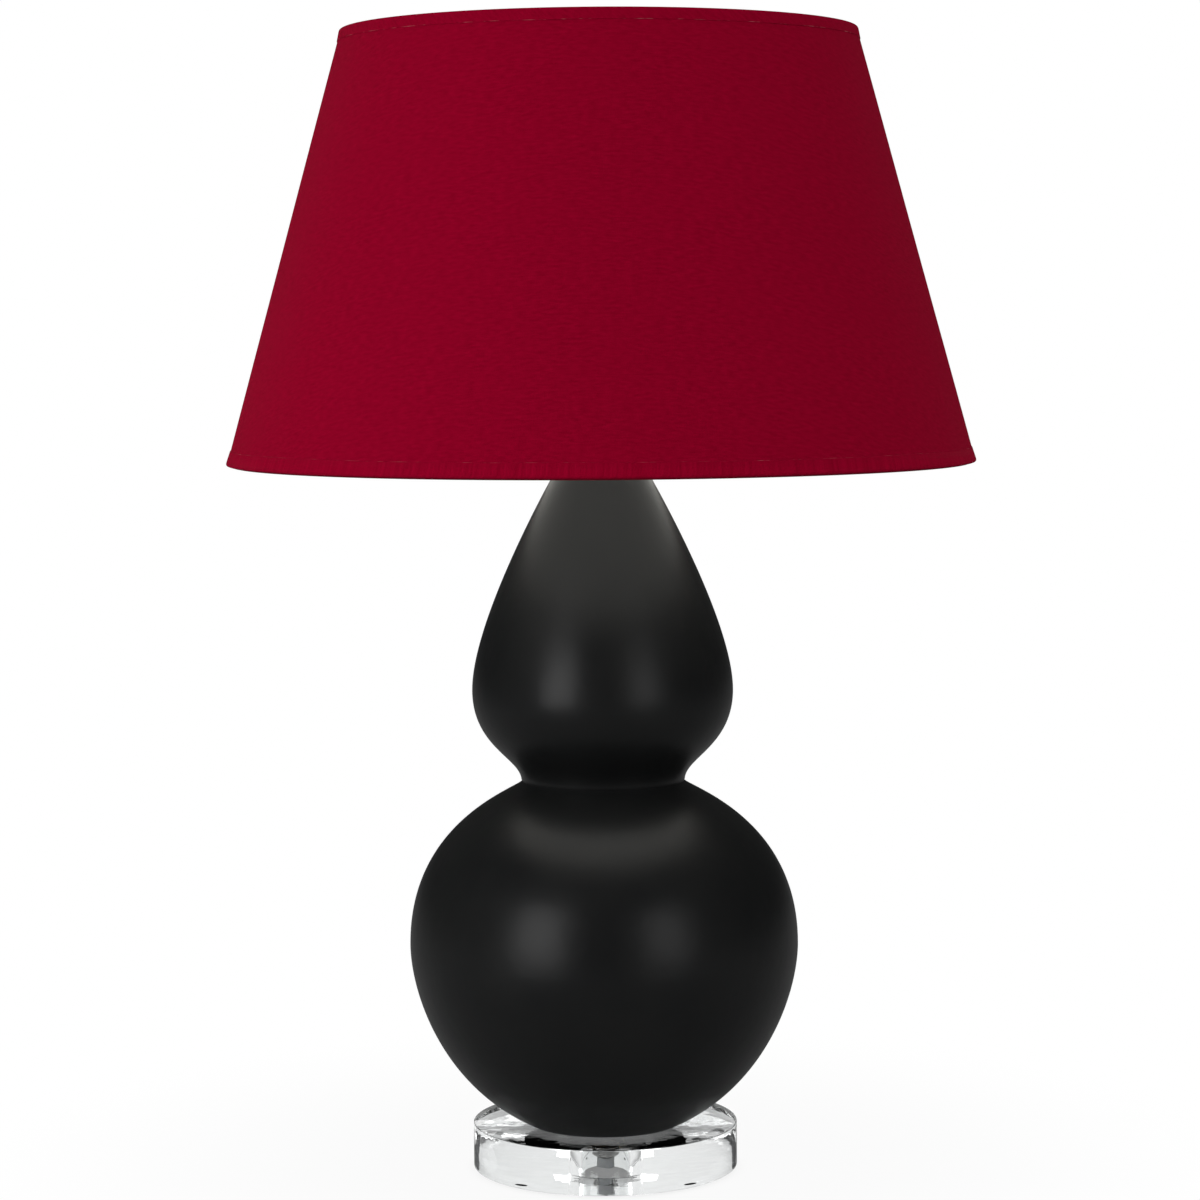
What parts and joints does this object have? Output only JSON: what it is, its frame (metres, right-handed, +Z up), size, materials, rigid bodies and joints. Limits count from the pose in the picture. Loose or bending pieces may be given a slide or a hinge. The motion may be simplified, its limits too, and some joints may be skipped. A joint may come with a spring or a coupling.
{
  "type": "table lamp",
  "caption": "Table lamp with a black double-gourd ceramic body on a clear round base, a harp, and a tapered crimson hardback shade with rolled hems.",
  "frame": {"origin": "middle of the footprint, on the surface that the lamp stands on", "axes": "+Z up through pipe, harp and finial; X across the harp, +X to the viewer's right; the cord outlet faces +Y, to the back"},
  "size_m": [0.5149, 0.5148, 0.7916],
  "materials": {
    "clear_acrylic": "clear, polished all over",
    "clear_bumper": "clear soft rubber",
    "grey_plastic": "moulded, matt",
    "plated_steel": "zinc plated, dull",
    "nickel": "polished nickel plate",
    "black_glaze": "satin black glaze",
    "brass": "plain brass",
    "paper_sleeve": "pressed paper",
    "black_phenolic": "moulded, matt",
    "aluminium": "rolled thread, bright",
    "frosted_glass": "white frosted glass",
    "white_wire": "white painted wire",
    "white_styrene": "smooth white sheet",
    "crimson_fabric": "plain weave, crimson"
  },
  "bodies": {
    "lamp_body": {"acrylic_base": "clear_acrylic", "bumper_feet": "clear_bumper", "cord_bushing": "grey_plastic", "lamp_pipe": "plated_steel", "pipe_bushing": "grey_plastic", "base_washer": "plated_steel", "lock_washer": "plated_steel", "base_nut": "plated_steel", "foot_ring": "brass", "gourd_body": "black_glaze", "vase_cap": "nickel", "neck_spacer": "nickel", "harp_saddle": "nickel", "saddle_nut": "plated_steel", "socket_cap": "nickel", "cap_set_screw": "plated_steel", "socket_shell": "nickel", "socket_insulator": "paper_sleeve", "switch_block": "black_phenolic", "screw_shell": "aluminium", "centre_contact": "brass", "terminal_screws": "brass", "harp": "nickel", "harp_stud": "nickel"},
    "shade": {"fitter_plate": "white_wire", "shade_spider": "white_wire", "bottom_ring": "white_wire", "shade_liner": "white_styrene", "shade_cover": "crimson_fabric", "top_hem": "crimson_fabric", "bottom_hem": "crimson_fabric"},
    "finial": {"finial": "nickel"},
    "bulb": {"bulb_cap": "aluminium", "bulb_glass": "frosted_glass"},
    "switch_key": {"switch_key": "black_phenolic"},
    "sleeve_left": {"harp_sleeve_left": "nickel"},
    "sleeve_right": {"harp_sleeve_right": "nickel"}
  },
  "joints": [
    {"name": "shade_swivel", "type": "hinge", "parent": "lamp_body", "child": "shade", "pos_m": [0, 0, 0.77], "axis": [0, 0, 1], "continuous": true},
    {"name": "finial_turn", "type": "hinge", "parent": "lamp_body", "child": "finial", "pos_m": [0, 0, 0.77], "axis": [0, 0, 1], "continuous": true},
    {"name": "bulb_turn", "type": "hinge", "parent": "lamp_body", "child": "bulb", "pos_m": [0, 0, 0.55], "axis": [0, 0, 1], "continuous": true},
    {"name": "key_turn", "type": "hinge", "parent": "lamp_body", "child": "switch_key", "pos_m": [0, 0, 0.5441], "axis": [0, -1, 0], "continuous": true},
    {"name": "sleeve_left_lift", "type": "slide", "parent": "lamp_body", "child": "sleeve_left", "axis": [0, 0, 1], "range_m": [0, 0.012]},
    {"name": "sleeve_right_lift", "type": "slide", "parent": "lamp_body", "child": "sleeve_right", "axis": [0, 0, 1], "range_m": [0, 0.012]}
  ]
}
